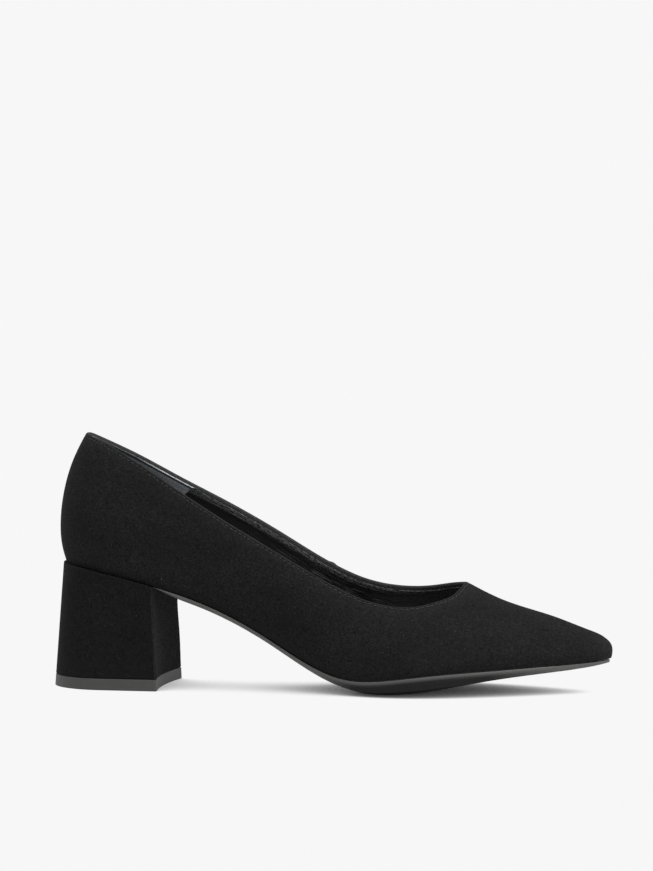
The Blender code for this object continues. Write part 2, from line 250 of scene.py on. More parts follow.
def unit(vectors):
    """Vectors drawn out to length 1."""
    return vectors / np.linalg.norm(vectors, axis=-1, keepdims=True)


def bell(off, width):
    """Bell curve: e to the minus square of off over width."""
    return np.exp(-((off / width) ** 2))


def swing(along):
    """Offset of the bottom's centre line to the inner side."""
    return bottom["swing"](along) * BALL_WIDTH


def section_span(along):
    """Height of the feather line, and from there to the ridge."""
    low = bottom["height"](along) * HEEL_HEIGHT
    return low, cone["ridge"](along) * INSTEP_HEIGHT - low


def section(along, share):
    """Half width and height, as shares: a cubic curve from the feather line, 0, to the ridge, 1."""
    rest = 1 - share
    low_handle, high_handle = 3 * rest**2 * share, 3 * rest * share**2
    width = rest**3 + low_handle * (1 + cone["flare"](along)) + high_handle * cone["crown"](along)
    height = low_handle * cone["side"](along) + high_handle + share**3
    return width, height


def skin(along, around):
    """Outer face of the upper. around: 0 at the outer feather line, 1 at the ridge, 2 at the inner one.

    Each section is its cubic curve scaled to the breadth and the ridge, rolled in at its foot. Elliptical
    ends narrow it to nothing at heel and toe, and the back curve and the nose push those ends to and fro.
    """
    side = np.where(around <= 1, -1, 1)
    width, height = section(along, np.where(around <= 1, around, 2 - around))
    low, rise = section_span(along)
    z = low + height * rise
    centre = HEEL_CENTRE + COLLAR_TAPER * height**2
    heel = np.clip((centre - along) / centre, 0, 1)
    toe = np.clip(1 - (LENGTH - along) / TOE_ROUND, 0, 1)
    roll = ROLL * np.clip(1 - (z - low) / np.minimum(ROLL_HEIGHT, ROLL_SHARE * rise), 0, 1) ** 2
    ends = np.sqrt((1 - heel**2) * (1 - toe**2))
    out = (bottom["breadth"](along) * BALL_WIDTH * width - roll) * ends
    y = swing(along) + (cone["crest"](along) - swing(along)) * height + side * out
    nose = TOE_NOSE * height**4 + TOE_TUCK * (1 - height) ** 4
    x = along + back_curve(z - HEEL_HEIGHT) * heel**2 - nose * toe**2
    return np.stack(np.broadcast_arrays(x, y, z), -1)


def skin_slopes(along, around):
    """The skin's slopes along and around, by central differences that stay off the tips of heel and toe."""
    ahead = TIP / 2
    along = np.clip(along, TIP, LENGTH - TIP)
    forward = (skin(along + ahead, around) - skin(along - ahead, around)) / (2 * ahead)
    low, high = np.maximum(around - AROUND_STEP, 0), np.minimum(around + AROUND_STEP, 2)
    across = (skin(along, high) - skin(along, low)) / (high - low)[..., None]
    return forward, across


def skin_normal(along, around):
    """Unit normal out of the skin: the cross product of its two slopes."""
    return unit(np.cross(*skin_slopes(along, around)))


def collar_line(points=300):
    """Topline as a closed line on the skin, along and around, from the back over the outer side and round.

    The tables' heights are found on their sections by halving steps. Points crowd at the back and throat.
    """
    along = THROAT * LENGTH * (1 - np.cos(np.linspace(0, np.pi, points))) / 2
    low, rise = section_span(along)
    places = []
    for side in ("outer", "inner"):
        wanted = (topline[side](along) * COLLAR_HEIGHT - low) / rise
        share = np.full(points, 0.5)
        for step in 0.5 ** np.arange(2, 40):
            share += np.where(section(along, share)[1] < wanted, step, -step)
        share[-1] = 1
        places.append(share)
    back_again = slice(points - 2, 0, -1)
    return (
        np.concatenate([along, along[back_again]]),
        np.concatenate([places[OUTER], 2 - places[INNER][back_again]]),
    )


def lowered(line, drop, steps=4):
    """A closed line moved down the skin by drop, one or a column of them, square to itself, in short steps.

    A step on the skin is turned into steps of along and around by least squares on the two slopes. Along is
    stepped as an angle, since the round ends narrow as its square root. The back point stays at the back.
    """
    along, around = line
    for _ in range(steps):
        forward, across = skin_slopes(along, around)
        point = skin(along, around)
        ahead = np.roll(point, -1, 0) - np.roll(point, 1, 0)
        step = drop / steps * unit(np.cross(ahead, np.cross(forward, across)))
        angle = np.arccos(1 - 2 * np.clip(along, TIP, LENGTH - TIP) / LENGTH)
        slopes = np.stack([forward * (np.sin(angle) * LENGTH / 2)[:, None], across], -1)
        angle_step, around_step = (np.linalg.pinv(slopes) @ step[..., None])[..., 0].T
        angle = np.where(along < TIP, 0, angle + angle_step)
        along = LENGTH * (1 - np.cos(angle)) / 2
        around = around + around_step
    return along, around


def tops_at(stations, line):
    """Share of the section at which a closed line lies, at each station: on the outer and the inner side."""
    along, around = line
    throat = np.argmax(along)
    outer = np.interp(stations, along[: throat + 1], around[: throat + 1])
    inner = np.interp(stations, along[: throat - 1 : -1], 2 - around[: throat - 1 : -1])
    return outer, inner


def distance_to(line_points, points, block_size=2000):
    """Distance from each point to the nearest of a line's points, worked out block by block."""
    flat = points.reshape(-1, 3)
    blocks = np.array_split(flat, len(flat) // block_size + 1)
    nearest = [((block[:, None] - line_points) ** 2).sum(-1).min(1) for block in blocks]
    return np.sqrt(np.concatenate(nearest)).reshape(points.shape[:-1])


def quads(index):
    """Corners of the quads over a grid of vertex numbers."""
    return np.stack([index[:-1, :-1], index[1:, :-1], index[1:, 1:], index[:-1, 1:]], -1).reshape(-1, 4)


def strip(first, second):
    """Corners of the quads between two closed loops of vertex numbers."""
    return np.stack([first, second, np.roll(second, -1), np.roll(first, -1)], -1)


def half_turn(first, second, rising, turn):
    """Half ellipse from first, at turn 0, to second, at turn pi, which bulges by rising."""
    return (first + second) / 2 + (first - second) / 2 * np.cos(turn) + rising * np.sin(turn)


def upper_stations(throat):
    """Places of the sections, closer together round the heel, the seam, the throat and the toe tip."""
    toe = LENGTH - TOE_ROUND
    heel_fan = HEEL_CENTRE * (1 - np.cos(np.linspace(0, np.pi / 2, HEEL_ROWS)))
    sides = np.linspace(HEEL_CENTRE, throat - THROAT_RUN, SIDE_ROWS)[1:]
    sides = sides[np.abs(sides - SEAM_ALONG) > SEAM_CLEAR]
    seam = SEAM_ALONG + np.linspace(-SEAM_FAN, SEAM_FAN, SEAM_ROWS)
    throat_fan = throat - THROAT_RUN * np.linspace(1, 0, THROAT_ROWS)[1:] ** 2
    vamp = throat + (toe - throat) * np.linspace(0, 1, VAMP_ROWS)[1:] ** VAMP_CROWDING
    toe_fan = toe + TOE_ROUND * np.sin(np.linspace(0, np.pi / 2, TOE_ROWS))[1:]
    return np.sort(np.concatenate([heel_fan, sides, seam, throat_fan, vamp, toe_fan]))


def wall_over_last(line, outer_depth, inner_depth):
    """Closed wall on the last below a line: points, faces, turn over the edge, distance below the collar.

    Both sides are grids of sections from the feather line up to the line, or to the ridge in front of the
    throat. The wall's two faces lie outer_depth and inner_depth under the skin, functions of along, around
    and distance below the collar, and a half circle joins them along the line. The turn is 0 on the outer
    face and 1 on the inner one.
    """
    throat = line[0].max()
    stations = upper_stations(throat)
    throat_row = np.searchsorted(stations, throat)
    tops = np.stack(tops_at(stations, line))[..., None]
    tops[:, throat_row:] = 1
    climb = 1 - (1 - np.linspace(0, 1, COLUMNS)) ** COLUMN_CROWDING
    shares = COLUMN_START * climb + (tops - COLUMN_START) * climb**2
    shares[INNER] = 2 - shares[INNER]
    places = np.broadcast_to(stations[:, None], shares.shape)
    points, normals = skin(places, shares), skin_normal(places, shares)
    normals[:, [0, -1]] = unit(normals[:, [0, -1]].sum(0))
    below = distance_to(skin(*collar), points)
    outer, inner = (
        (points - depth(places, shares, below)[..., None] * normals).reshape(-1, 3)
        for depth in (outer_depth, inner_depth)
    )

    index = np.arange(shares.size).reshape(shares.shape)
    index[INNER, [0, -1]] = index[OUTER, [0, -1]]
    index[INNER, throat_row:, -1] = index[OUTER, throat_row:, -1]
    outer_faces = np.concatenate([quads(index[OUTER]), quads(index[INNER])[:, ::-1]])
    feather = np.concatenate([index[OUTER, :, 0], index[INNER, -2:0:-1, 0]])
    edge = np.concatenate([index[OUTER, : throat_row + 1, -1], index[INNER, throat_row - 1 : 0 : -1, -1]])

    outer_edge, inner_edge = outer[edge], inner[edge]
    half = (outer_edge - inner_edge) / 2
    ahead = np.roll(outer_edge, -1, 0) - np.roll(outer_edge, 1, 0)
    rising = unit(np.cross(half, ahead)) * np.linalg.norm(half, axis=-1, keepdims=True)
    turn = np.linspace(0, np.pi, EDGE_POINTS)[1:-1, None, None]
    arcs = half_turn(outer_edge, inner_edge, rising, turn)
    size, ring = shares.size, len(edge)
    arc_index = 2 * size + np.arange(len(turn) * ring).reshape(len(turn), ring)
    loops = [edge, *arc_index, edge + size]
    faces = [outer_faces, outer_faces[:, ::-1] + size, strip(feather, feather + size)]
    faces += [strip(high, low) for low, high in zip(loops, loops[1:])]
    everything = np.concatenate([outer, inner, arcs.reshape(-1, 3)])
    turned = np.concatenate([np.repeat([0.0, 1.0], size), np.repeat(turn.ravel() / np.pi, ring)])
    below = below.ravel()
    below = np.concatenate([below, below, np.tile(below[edge], len(turn))])
    return everything, np.concatenate(faces), turned, below


def suede_relief(along, around, below):
    """How far the suede stands out of the last's skin: the stitch groove, the closing seam and the creases.

    Each is a bell curve: the groove across the distance below the collar, the seam across along, and a
    crease across three directions at its own place on the skin.
    """
    off_seam = np.abs(along - SEAM_ALONG)
    lips = SEAM_LIP * bell(off_seam - SEAM_LIP_OFF, SEAM_LIP_WIDTH)
    groove = SEAM_GROOVE * bell(off_seam, SEAM_WIDTH)
    knot = SEAM_KNOT * bell(off_seam, SEAM_KNOT_REACH) * bell(below, SEAM_KNOT_REACH)
    relief = (around > 1) * (lips - groove + knot)
    relief = relief - STITCH_GROOVE * bell(below - STITCH_DROP, STITCH_GROOVE_WIDTH)
    points = skin(along, around)
    for crease in rows_of(CREASES):
        place = np.array(crease["along"]), np.array(crease["around"])
        forward = unit(skin_slopes(*place)[0])
        upward = np.cross(skin_normal(*place), forward) * (1 if crease["around"] <= 1 else -1)
        turn = np.radians(crease["turn"])
        offset = points - skin(*place)
        run = offset @ (forward * np.cos(turn) + upward * np.sin(turn))
        across = offset @ (upward * np.cos(turn) - forward * np.sin(turn))
        away = offset @ np.cross(forward, upward)
        bells = bell(run, crease["length"]) * bell(across, crease["width"]) * bell(away, CREASE_REACH)
        relief = relief - crease["depth"] * bells
    return relief


def suede_wall(below):
    """Thickness of the suede: one layer, and near the collar also the part that is folded in."""
    return SUEDE + (2 * FOLD_RADIUS - SUEDE) * bell(below, FOLD_DEPTH)


class Shade:
    """An output in a material's nodes. Arithmetic on it adds Math nodes."""

    def __init__(self, tree, socket=None):
        self.tree = tree
        self.socket = socket

    def node(self, kind, settings, inputs, output=0):
        """Adds a node, with its settings and then its inputs by name or number, and gives an output."""
        made = self.tree.nodes.new(kind)
        for name, value in settings.items():
            setattr(made, name, value)
        for key, value in inputs.items():
            if isinstance(value, Shade):
                self.tree.links.new(value.socket, made.inputs[key])
            else:
                made.inputs[key].default_value = value
        return Shade(self.tree, made.outputs[output])

    def math(self, operation, *values):
        return self.node("ShaderNodeMath", {"operation": operation}, dict(enumerate(values)))

    def __add__(self, other):
        return self.math("ADD", self, other)

    def __sub__(self, other):
        return self.math("SUBTRACT", self, other)

    def __rsub__(self, other):
        return self.math("SUBTRACT", other, self)

    def __mul__(self, other):
        return self.math("MULTIPLY", self, other)

    def __truediv__(self, other):
        return self.math("DIVIDE", self, other)

    def __rtruediv__(self, other):
        return self.math("DIVIDE", other, self)

    __radd__ = __add__
    __rmul__ = __mul__

    def clamped(self):
        return self.node("ShaderNodeClamp", {}, {"Value": self})

    def bell(self, middle, width):
        """Bell curve of this value round a middle: e to the minus square."""
        off = (self - middle) / width
        return self.math("POWER", np.e, 0 - off * off)

    def blend(self, first, second):
        """Colour between two colours, by this value."""
        inputs = {"Factor": self, 6: first, 7: second}
        return self.node("ShaderNodeMix", {"data_type": "RGBA"}, inputs, 2)

    def noise(self, size, detail=2.0, stretch=(1, 1, 1)):
        """Soft noise at this place, with lumps of a size in mm that stretch draws out along the axes."""
        inverse = tuple(1 / times for times in stretch)
        place = self.node("ShaderNodeVectorMath", {"operation": "MULTIPLY"}, {0: self, 1: inverse})
        inputs = {"Vector": place, "Scale": 1 / (size * MM), "Detail": detail}
        return self.node("ShaderNodeTexNoise", {}, inputs)

    def axis(self, name):
        """One coordinate of this place."""
        return self.node("ShaderNodeSeparateXYZ", {}, {0: self}, name)

    def attribute(self, name):
        return self.node("ShaderNodeAttribute", {"attribute_name": name}, {}, "Fac")

    def bump(self, strength, depth):
        """Normal for this value as a height of depth mm."""
        inputs = {"Strength": strength, "Distance": depth * MM, "Height": self}
        return self.node("ShaderNodeBump", {}, inputs)


def new_material(name, varying, constant):
    """A Principled material. varying takes the Object coordinates and gives the linked inputs by name."""
    made = bpy.data.materials.new(name)
    made.use_nodes = True
    shader = made.node_tree.nodes["Principled BSDF"]
    for key, value in constant.items():
        shader.inputs[key].default_value = value
    where = Shade(made.node_tree).node("ShaderNodeTexCoord", {}, {}, "Object")
    for key, value in varying(where).items():
        made.node_tree.links.new(value.socket, shader.inputs[key])
    return made


def suede_nap(where, shade, ruffle):
    """Short nap: fine fibres in tufts, soft patches brushed lighter or darker, and specks of lint.

    One attribute lightens the nap, partly for wear and partly as painted light and sheen, and brushed adds
    long strokes.
    """
    fibres, tufts, clumps = (where.noise(size) for size in (FIBRE_SIZE, TUFT_SIZE, CLUMP_SIZE))
    patches = where.noise(PATCH_SIZE, stretch=PATCH_STRETCH)
    strokes = where.noise(STROKE_SIZE, stretch=STROKE_STRETCH)
    specks = where.noise(LINT_SIZE, 1.0)
    ruffled = ruffle * (0.2 + 1.6 * patches)
    tone = shade + ruffled * (1.4 * (fibres - 0.5) + 0.7 * (tufts - 0.5)) + 0.2 * (clumps - 0.5)
    tone = tone + 0.4 * ruffle * (patches - 0.5) + 2.2 * where.attribute("brushed") * (strokes - 0.5)
    rub_and_painted_light = (where.attribute("rub_and_painted_light") * (0.3 + 0.9 * tufts)).clamped()
    nap = rub_and_painted_light.blend(tone.clamped().blend(SUEDE_DARK, SUEDE_LIGHT), SUEDE_RUB_AND_PAINTED_LIGHT)
    lint = (10 * (specks - LINT_SHARE)).clamped()
    return {
        "Base Color": lint.blend(nap, LINT),
        "Roughness": 0.86 + 0.12 * patches,
        "Normal": (fibres * 0.6 + tufts * 0.4).bump(0.55, 0.25),
    }


def add_object(name, data):
    """New object of a mesh, a light or a camera, at the origin of the scene."""
    made = bpy.data.objects.new(name, data)
    bpy.context.scene.collection.objects.link(made)
    return made


def add_piece(name, points, faces, material, slot, node=None, attributes=None, hard_edge=50):
    """New object of points in mm and lists of corner numbers, with doubles merged. It rides on the shoe."""
    used = np.unique(np.concatenate([np.ravel(group) for group in faces]))
    number = np.zeros(len(points), int)
    number[used] = np.arange(len(used))
    mesh = bpy.data.meshes.new(name)
    corners = [row for group in faces for row in number[np.atleast_2d(group)].tolist()]
    mesh.from_pydata((points[used] + PLACE) * MM, [], corners)
    for key, values in (attributes or {}).items():
        values = values[used].astype(np.float32)
        mesh.attributes.new(key, "FLOAT", "POINT").data.foreach_set("value", values)
    shape = bmesh.new()
    shape.from_mesh(mesh)
    bmesh.ops.remove_doubles(shape, verts=shape.verts, dist=MERGED * MM)
    shape.to_mesh(mesh)
    shape.free()
    mesh.shade_smooth()
    mesh.set_sharp_from_angle(angle=np.radians(hard_edge))
    mesh.materials.append(material)
    piece = add_object(name, mesh)
    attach(piece, "root")
    if node:
        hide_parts(node)


# The last lies in the frame with its tip and its middle where the upper's solid has them
last_grid = np.meshgrid(np.linspace(0, LENGTH, 400), np.linspace(0, 2, 200), indexing="ij")
last_points = skin(*last_grid).reshape(-1, 3)
last_low, last_high = last_points.min(0), last_points.max(0)
upper_low, upper_high = (np.array(corner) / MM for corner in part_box("upper"))
PLACE = np.array([
    upper_high[0] - last_high[0],
    (upper_low[1] + upper_high[1] - last_low[1] - last_high[1]) / 2,
    0.0,
])

SUEDE_FINISH = {
    "Specular IOR Level": 0.05,
    "Sheen Weight": 0.012,
    "Sheen Roughness": 0.5,
    "Sheen Tint": (0.9, 0.92, 0.95, 1),
}
suede = new_material("black suede", lambda where: suede_nap(where, UPPER_SHADE, UPPER_RUFFLE), SUEDE_FINISH)
collar = collar_line()
points, faces, turned, below = wall_over_last(
    lowered(collar, FOLD_RADIUS),
    lambda along, around, below: -suede_relief(along, around, below),
    lambda along, around, below: suede_wall(below),
)
# The nap is lightened: on top of the folded edge as a painted highlight, on the turned-in layer inside as
# painted light against its shade, a little below the collar outside, and at the toe tip for worn nap and
# painted sheen.
over_edge = np.sin(np.pi * np.minimum(turned, 0.5)) ** 2
rub_and_painted_light = over_edge * np.interp(turned, [0.5, 1], [RIM_PAINTED_HIGHLIGHT, FOLD_PAINTED_LIGHT])
rub_and_painted_light = rub_and_painted_light + COLLAR_LIGHTENING * bell(below, COLLAR_LIGHTENING_REACH)
rub_and_painted_light = rub_and_painted_light + TOE_RUB_AND_SHEEN * np.exp((points[:, 0] - LENGTH) / TOE_RUB_AND_SHEEN_RUN)
add_piece("suede_upper", points, [faces], suede, "suede", "upper", {"rub_and_painted_light": rub_and_painted_light}, WALL_HARD_EDGE)


# Lining. Thin smooth leather, and cloth under the vamp, glued to the inside of the upper and cut off under
# the folded edge. Its edge is drawn up into ropy folds, and along the waist it is slack and finely wrinkled.

LINING = 0.7  # thickness
LINING_DROP = 2.2  # collar to the lining's edge
LINING_DROP_HEEL = 1.35  # and under the heel lining
LINING_STEP = 54.0, 60.0  # along, from where to where its edge steps down
LINING_GAP = 0.04  # glue line to the suede
LINING_DEEP = (0.0075, 0.0075, 0.0077, 1)
LINING_VAMP = (0.0560, 0.0560, 0.0567, 1)  # cloth in front
VAMP_ALONG = 130.0  # from where it turns to cloth
VAMP_RUN = 40.0
# tones of the ropes and fine wrinkles: the light one is a painted highlight where they stand up
LINING_DARK = (0.010, 0.010, 0.010, 1)
LINING_HIGHLIGHT = (0.085, 0.086, 0.089, 1)
EDGE_BAND = 3.9  # collar to the foot of the ropy edge
EDGE_BAND_VAMP = 2.4  # and in front
EDGE_FADE = 0.9
SLACK_ALONG = 116.0  # middle of the slack part that is finely wrinkled
SLACK_REACH = 26.0
SLACK_DROP = 9.5  # collar to its middle
SLACK_DEPTH = 4.0

# Wrinkles of the lining: how far below the collar, and from where to where along the shoe they run. sway is
# how far they wander, and height how far they stand in. All in mm.
WRINKLES = (
    ("side", "drop", "start", "end", "sway", "width", "height"),
    (INNER, 2.9, 50.0, 168.0, 0.15, 0.40, 0.30),
    (INNER, 3.8, 46.0, 162.0, 0.25, 0.50, 0.40),
    (INNER, 5.2, 80.0, 150.0, 0.50, 0.60, 0.25),
    (INNER, 8.0, 92.0, 150.0, 0.80, 0.70, 0.25),
    (INNER, 9.6, 100.0, 156.0, 0.80, 0.70, 0.25),
    (INNER, 11.4, 108.0, 160.0, 1.00, 0.80, 0.20),
    (OUTER, 3.4, 50.0, 160.0, 0.25, 0.50, 0.40),
    (OUTER, 5.0, 74.0, 150.0, 0.50, 0.70, 0.30),
    (OUTER, 9.0, 90.0, 150.0, 1.00, 1.00, 0.25),
)
WRINKLE_WAVE = 11.0  # length of their wandering, divided by a full turn
WRINKLE_SHIFT = 1.7  # how far each lags the one before, as an angle
ROPE_WAVE = 1.2  # length of the lumps along them, divided by a full turn
ROPE_DEPTH = 0.35  # share of their height that the lumps take
PACE_WAVE = 5.0  # length over which the lumps' pace changes, divided by a full turn
PACE_SWING = 3.0  # how far it changes, as an angle
ROPE_SIZE = 0.6  # width of the ropes and of the fine wrinkles in the material
ROPE_STRETCH = 2.5  # how many times longer than wide the ropes are there
LINE_STRETCH = 12.0  # and the fine wrinkles
LINING_GRAIN_SIZE = 0.6


def lining_wrinkles(along, around, below):
    """Height of the wrinkles: bell curves across the distance below the collar that fade at both ends.

    Along a wrinkle a sine of uneven pace makes it lumpy as a rope.
    """
    height = np.zeros_like(below)
    for number, wrinkle in enumerate(rows_of(WRINKLES)):
        centre = wrinkle["drop"] + wrinkle["sway"] * np.sin(along / WRINKLE_WAVE + WRINKLE_SHIFT * number)
        middle = (wrinkle["start"] + wrinkle["end"]) / 2
        fade = np.clip(1 - ((along - middle) / (wrinkle["end"] - middle)) ** 2, 0, 1)
        on_side = (around > 1) == (wrinkle["side"] == INNER)
        pace = PACE_SWING * np.sin(along / PACE_WAVE + number)
        lumps = 1 - ROPE_DEPTH * (1 + np.sin(along / ROPE_WAVE + pace))
        height += wrinkle["height"] * fade * on_side * lumps * bell(below - centre, wrinkle["width"])
    return height


def lining_depth(along, around, below):
    """Depth of the lining's inner face under the skin."""
    return suede_wall(below) + LINING_GAP + LINING + lining_wrinkles(along, around, below)


def lining_grain(where):
    """Thin lining leather: a ropy edge over a deep black, with painted highlights on its ropes and on the
    fine wrinkles where it is slack.

    Ropes and wrinkles are noise over the place along the shoe, drawn out, and the distance below the collar,
    an attribute in mm.
    """
    along = where.axis("X")
    below = where.attribute("below_collar")

    def drawn_out(times, detail):
        place = where.node("ShaderNodeCombineXYZ", {}, {"X": along / times, "Y": below * MM})
        return place.noise(ROPE_SIZE, detail)

    grain = where.noise(LINING_GRAIN_SIZE, 3.0)
    ropes = drawn_out(ROPE_STRETCH, 3.0)
    lines = drawn_out(LINE_STRETCH, 2.0)
    vamp = ((along / MM - PLACE[0] - VAMP_ALONG) / VAMP_RUN).clamped()
    edge_foot = EDGE_BAND - (EDGE_BAND - EDGE_BAND_VAMP) * vamp
    edge = 1 - ((below - edge_foot + 2 * (ropes - 0.5)) / EDGE_FADE).clamped()
    slack_place = (SLACK_ALONG + PLACE[0]) * MM
    slack = along.bell(slack_place, SLACK_REACH * MM) * below.bell(SLACK_DROP, SLACK_DEPTH)
    # Painted highlights: the ropes and the slack part's fine wrinkles are lightened where their bumps stand
    # up
    rub_and_painted_light = (0.5 + 3 * (ropes - 0.5)).clamped().blend(LINING_DARK, LINING_HIGHLIGHT)
    deep = vamp.blend(LINING_DEEP, LINING_VAMP)
    wrinkle_highlights = (slack * 4 * (lines - 0.5)).clamped()
    return {
        "Base Color": wrinkle_highlights.blend(edge.blend(deep, rub_and_painted_light), LINING_HIGHLIGHT),
        "Roughness": 0.6 + 0.15 * grain,
        "Normal": (grain * 0.1 + (ropes - 0.5) * edge + 0.6 * (lines - 0.5) * slack).bump(1.0, 1.0),
    }


lining_leather = new_material("black lining", lining_grain, {"Specular IOR Level": 0.12})
lining_drop = np.interp(collar[0], LINING_STEP, (LINING_DROP_HEEL, LINING_DROP))
points, faces, _, below = wall_over_last(
    lowered(collar, lining_drop[:, None]),
    lambda along, around, below: suede_wall(below) + LINING_GAP,
    lining_depth,
)
attributes = {"below_collar": below}
add_piece("lining", points, [faces], lining_leather, "insole_leather", None, attributes, WALL_HARD_EDGE)


# Heel lining. A band of smooth grey leather round the inside of the heel, glued over the lining close to the
# collar. It is painted darker round the back as shade. A groove, black and painted darker still as shade,
# sets off its bound edge, which runs on a little further forwards than the band and carries a painted
# highlight.

HEEL_LINING = 0.6  # thickness
HEEL_LINING_DROP = 1.3  # collar to its top edge
HEEL_LINING_FRONT = 46.5  # along, at the foot of its front edges
HEEL_LINING_LEAN = 6.0  # how much further forwards the bound edge ends
HEEL_LINING_LEAN_POWER = 12  # the higher, the closer to the bound edge they lean
HEEL_LINING_FOOT = 0.04  # share of the section where it starts
HEEL_LINING_ROWS, HEEL_LINING_COLUMNS = 141, 48  # round the heel and up the band
BOUND_POINTS = 7  # over its top edge
GROOVE_DROP = 2.25  # collar to the groove
GROOVE_DEPTH = 0.35
GROOVE_WIDTH = 0.55
HIGHLIGHT_START = 27.0  # along, from where a painted highlight lightens the bound edge
HIGHLIGHT_RUN = 12.0
BOUND_FADE = 0.25  # height over which it turns into the groove
LIT_START = 21.8  # along, from where the band is painted lighter, out of the shade at the back
LIT_RUN = 29.06
PEBBLE_SIZE, LIT_PATCH_SIZE = 0.45, 7.0  # in its grain, and in the edge of its painted shade
HEEL_LINING_SHADED = (0.066, 0.071, 0.076, 1)  # painted shade round the back
HEEL_LINING_LIT = (0.160, 0.171, 0.182, 1)  # painted light at the front edges
BOUND_DARK = (0.030, 0.032, 0.034, 1)
# painted highlight on the bound edge
BOUND_HIGHLIGHT = (0.42, 0.445, 0.47, 1)
# the groove's black, deepened as painted shade
GROOVE_BLACK_AND_SHADE = (0.040, 0.042, 0.045, 1)


def loft(loops):
    """Points and faces of a solid through closed loops that turn clockwise, seen along the way.

    It is a closed grid whose ends are flat faces, except where a loop has shrunk to a line.
    """
    count, size = loops.shape[:2]
    index = np.arange(count * size).reshape(count, size)
    ends = [index[0], index[-1][::-1]]
    extents = np.sort(np.ptp(loops[[0, -1]], axis=1))
    flat_ends = [end for end, extent in zip(ends, extents) if extent[1] > MERGED]
    return loops.reshape(-1, 3), [quads(np.concatenate([index, index[:, :1]], 1)), *flat_ends]


def heel_lining_loops():
    """Profiles from one front edge round the heel to the other: up the face, over the top, down the back.

    The place along is the square of the way round, so that the points stay even where the heel turns. The
    groove is a bell curve across the distance below the collar, which is given for each point as well.
    """
    way = np.linspace(-1, 1, HEEL_LINING_ROWS)[:, None]
    climb = 1 - np.linspace(1, 0, HEEL_LINING_COLUMNS) ** 2
    stations = (HEEL_LINING_FRONT + HEEL_LINING_LEAN * climb**HEEL_LINING_LEAN_POWER) * way**2
    top = np.where(way < 0, *tops_at(stations, lowered(collar, HEEL_LINING_DROP)))
    share = HEEL_LINING_FOOT + (top - HEEL_LINING_FOOT) * climb
    around = np.where(way < 0, share, 2 - share)
    base, normal = skin(stations, around), skin_normal(stations, around)
    below = distance_to(skin(*collar), base)
    groove = GROOVE_DEPTH * bell(below - GROOVE_DROP, GROOVE_WIDTH)
    back_depth = lining_depth(stations, around, below) + LINING_GAP
    face_depth = back_depth + HEEL_LINING - groove
    back, face = (base - depth[..., None] * normal for depth in (back_depth, face_depth))
    rising = unit(face[:, -1:] - face[:, -2:-1]) * HEEL_LINING / 2
    turn = np.linspace(0, np.pi, BOUND_POINTS)[1:-1, None]
    edge = half_turn(face[:, -1:], back[:, -1:], rising, turn)
    at_edge = np.full(edge.shape[:2], HEEL_LINING_DROP)
    loops = np.concatenate([face, edge, back[:, ::-1]], 1)
    return loops, np.concatenate([below, at_edge, below[:, ::-1]], 1).ravel()


def heel_lining_grain(where):
    """Smooth leather with a fine pebble grain, painted darker round the back as shade, with a painted
    highlight along its bound edge.
    """
    pebbles = where.noise(PEBBLE_SIZE)
    patches = where.noise(LIT_PATCH_SIZE)
    along = where.axis("X") / MM - PLACE[0]
    below = where.attribute("below_collar")
    lit_forwards = ((along - LIT_START) / LIT_RUN + 0.3 * (patches - 0.5)).clamped()
    bound = ((GROOVE_DROP - GROOVE_WIDTH - below) / BOUND_FADE).clamped()
    bound_highlight = ((along - HIGHLIGHT_START) / HIGHLIGHT_RUN).clamped().blend(BOUND_DARK, BOUND_HIGHLIGHT)
    band = bound.blend(lit_forwards.blend(HEEL_LINING_SHADED, HEEL_LINING_LIT), bound_highlight)
    return {
        "Base Color": below.bell(GROOVE_DROP, GROOVE_WIDTH).blend(band, GROOVE_BLACK_AND_SHADE),
        "Roughness": 0.26 + 0.14 * pebbles,
        "Normal": pebbles.bump(0.25, 0.08),
    }


heel_lining_leather = new_material("grey heel lining", heel_lining_grain, {"Specular IOR Level": 0.4})
loops, below = heel_lining_loops()
attributes = {"below_collar": below}
add_piece("heel_lining", *loft(loops), heel_lining_leather, "insole_leather", None, attributes)


# Collar stitches. One row of black lockstitch round the whole collar, through the suede and its turned-in
# edge, so that it shows on both faces, inside as far as the heel lining. Each stitch is a short thread that
# dips in at its ends.

STITCH_PITCH = 2.3
STITCH_LENGTH = 1.7
THREAD = 0.45  # diameter
THREAD_TAPER = 0.8  # share of its section that it loses at the ends of a stitch
THREAD_ARCH = 0.24  # how far the middle of a stitch stands above its ends
THREAD_SUNK = 0.17  # how far the ends lie under the surface
THREAD_SHAKE = 0.1  # spread of their turns, of their lengths as a share, and of their places in mm
THREAD_AIM = 0.4  # how far on either side of its middle a stitch follows the line
THREAD_ROWS, THREAD_SIDES = 8, 8  # along and round a stitch
PLY_SIZE = 0.5
THREAD_DARK = (0.006, 0.006, 0.006, 1)
THREAD_LIGHT = (0.020, 0.020, 0.021, 1)


